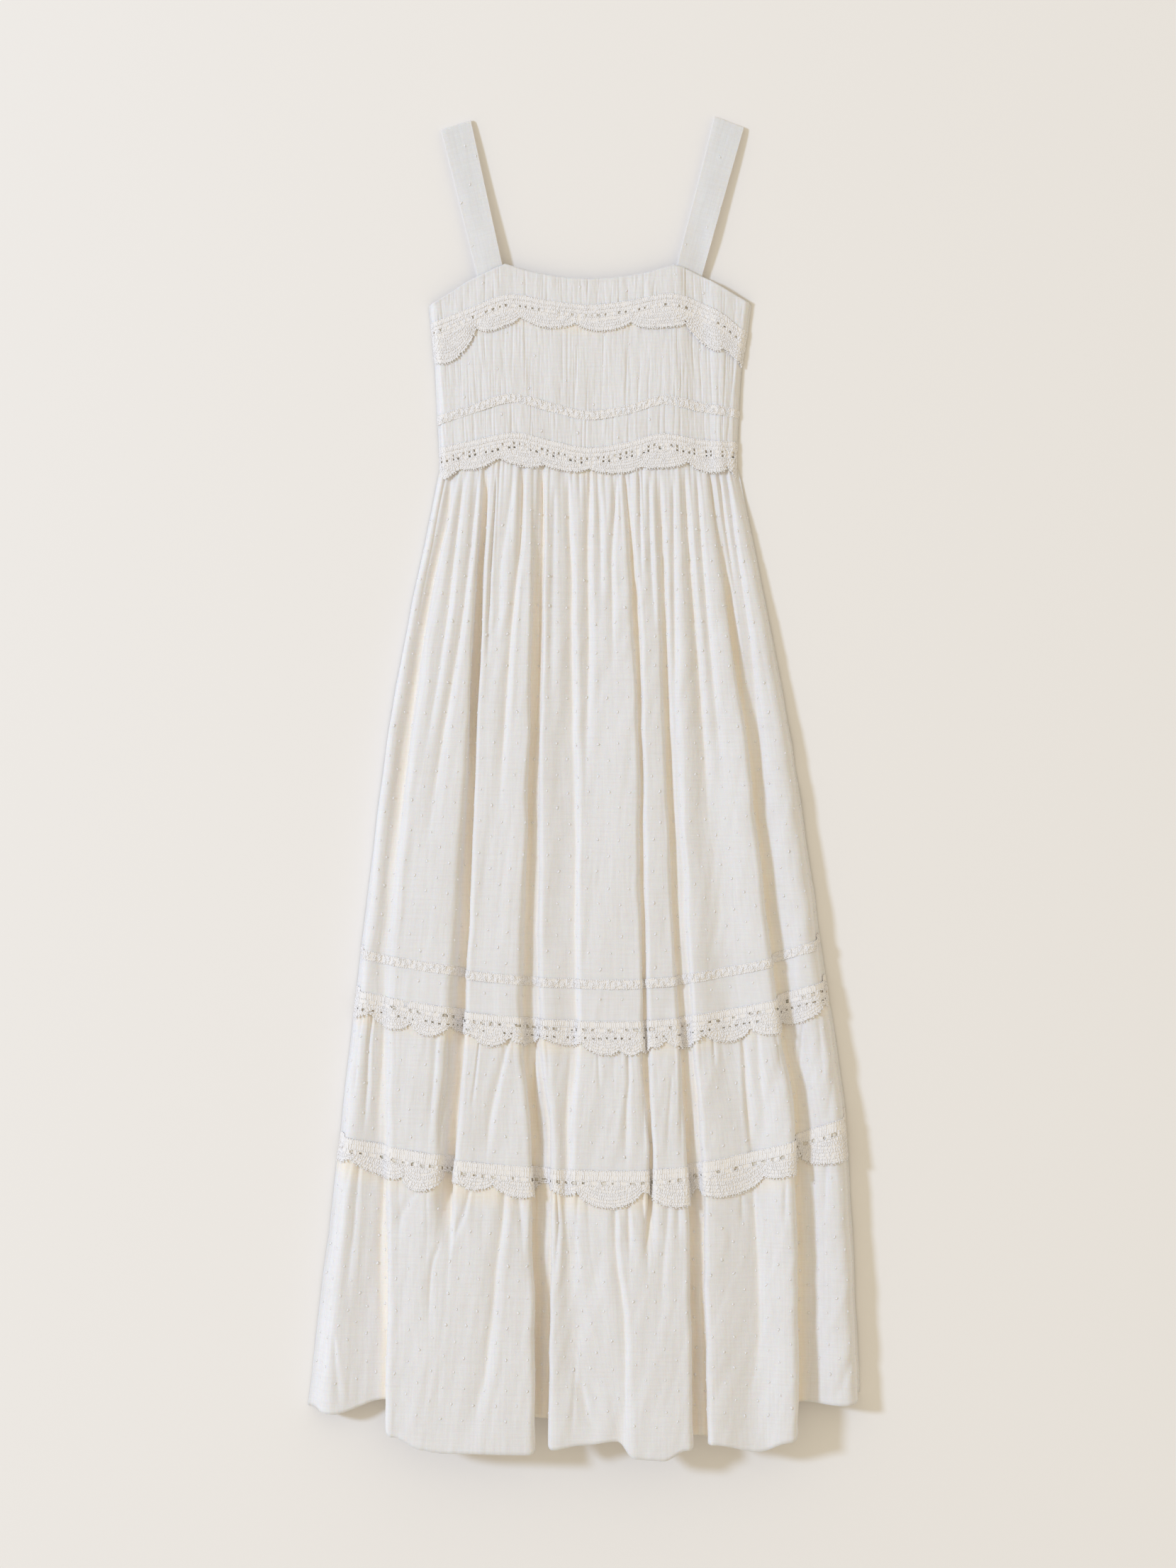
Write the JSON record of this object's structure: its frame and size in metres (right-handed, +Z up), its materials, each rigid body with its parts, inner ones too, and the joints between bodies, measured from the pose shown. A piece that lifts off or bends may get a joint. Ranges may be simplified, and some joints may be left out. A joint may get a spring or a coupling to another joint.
{
  "type": "dobby midi dress",
  "caption": "Sleeveless tiered midi dress in off-white dobby cotton with crochet trims, laid flat on its back.",
  "frame": {"origin": "on the surface that the dress lies on, at the middle of its bounding box", "axes": "+Z up from the surface, out of the dress's front; +Y from the hem towards the straps; +X to the right of the picture"},
  "size_m": [0.55, 1.3259, 0.051],
  "materials": {
    "dobby_cotton": "matt off-white plain weave cotton with small raised dobby tufts",
    "crochet_cotton": "matt off-white crochet cotton thread"
  },
  "bodies": {
    "root": {"bodice_front": "dobby_cotton", "bodice_back": "dobby_cotton", "skirt_front_upper": "dobby_cotton", "skirt_front_middle": "dobby_cotton", "skirt_front_lower": "dobby_cotton", "skirt_back_upper": "dobby_cotton", "skirt_back_middle": "dobby_cotton", "skirt_back_lower": "dobby_cotton", "strap_left": "dobby_cotton", "strap_right": "dobby_cotton", "trim_upper": "crochet_cotton", "insertion_bodice": "crochet_cotton", "trim_waist": "crochet_cotton", "insertion_skirt": "crochet_cotton", "trim_skirt_upper": "crochet_cotton", "trim_skirt_lower": "crochet_cotton"}
  },
  "joints": []
}
